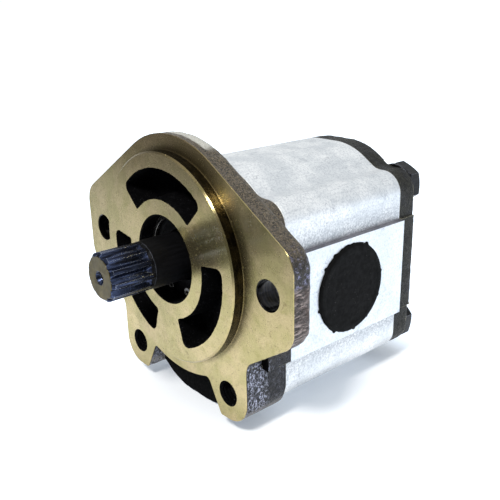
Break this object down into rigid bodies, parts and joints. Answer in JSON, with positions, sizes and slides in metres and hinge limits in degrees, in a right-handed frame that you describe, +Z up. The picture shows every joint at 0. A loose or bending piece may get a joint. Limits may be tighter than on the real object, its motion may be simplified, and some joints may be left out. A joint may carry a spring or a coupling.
{
  "type": "hydraulic gear pump",
  "caption": "External gear pump with a two-bolt pilot flange, splined drive shaft, side ports closed by caps, meshed gears on plain bushes, bearing blocks, seals and screws.",
  "frame": {"origin": "on the ground under the middle of the pump: the centre of the bounding box in X and Y, at its lowest Z", "axes": "+Z up, -Y the way the drive shaft points, +X towards the inlet port"},
  "size_m": [0.131, 0.135, 0.1114],
  "materials": {
    "flange_iron": "machined and stained on the front, rough as cast round the sides",
    "body_aluminium": "satin, scuffed",
    "cover_iron": "rough as cast, dark",
    "shaft_steel": "hardened and blackened, oily",
    "bearing_aluminium": "machined",
    "bush_bronze": "smooth",
    "seal_rubber": "matte",
    "backup_plastic": "waxy",
    "spring_steel": "bright",
    "screw_steel": "blackened",
    "plug_plastic": "moulded, ragged at the edge"
  },
  "bodies": {
    "housing": {"mounting_flange": "flange_iron", "pump_body": "body_aluminium", "rear_cover": "cover_iron", "front_bearing_block": "bearing_aluminium", "rear_bearing_block": "bearing_aluminium", "front_drive_bush": "bush_bronze", "front_idler_bush": "bush_bronze", "rear_drive_bush": "bush_bronze", "rear_idler_bush": "bush_bronze", "shaft_seal": "seal_rubber", "seal_garter_spring": "spring_steel", "seal_retaining_ring": "spring_steel", "front_face_seal": "seal_rubber", "rear_face_seal": "seal_rubber", "front_balance_seal": "seal_rubber", "front_backup_ring": "backup_plastic", "rear_balance_seal": "seal_rubber", "rear_backup_ring": "backup_plastic", "upper_right_screw": "screw_steel", "upper_right_washer": "screw_steel", "upper_left_screw": "screw_steel", "upper_left_washer": "screw_steel", "lower_right_screw": "screw_steel", "lower_right_washer": "screw_steel", "lower_left_screw": "screw_steel", "lower_left_washer": "screw_steel", "front_right_dowel": "spring_steel", "rear_right_dowel": "spring_steel", "front_left_dowel": "spring_steel", "rear_left_dowel": "spring_steel"},
    "drive": {"drive_gear_shaft": "shaft_steel"},
    "idler": {"idler_gear_shaft": "shaft_steel"},
    "inlet_cap": {"inlet_port_plug": "plug_plastic"},
    "outlet_cap": {"outlet_port_plug": "plug_plastic"}
  },
  "joints": [
    {"name": "drive_shaft_spin", "type": "hinge", "parent": "housing", "child": "drive", "pos_m": [0, -0.035, 0.064], "axis": [0, 1, 0], "continuous": true},
    {"name": "idler_spin", "type": "hinge", "parent": "housing", "child": "idler", "pos_m": [0, 0.015, 0.034], "axis": [0, 1, 0], "continuous": true},
    {"name": "inlet_plug_pull", "type": "slide", "parent": "housing", "child": "inlet_cap", "axis": [1, 0, 0], "range_m": [0, 0.03]},
    {"name": "outlet_plug_pull", "type": "slide", "parent": "housing", "child": "outlet_cap", "axis": [-1, 0, 0], "range_m": [0, 0.03]}
  ],
  "couplings": [
    {"joint": "idler_spin", "follows": "drive_shaft_spin", "ratio": -1}
  ]
}
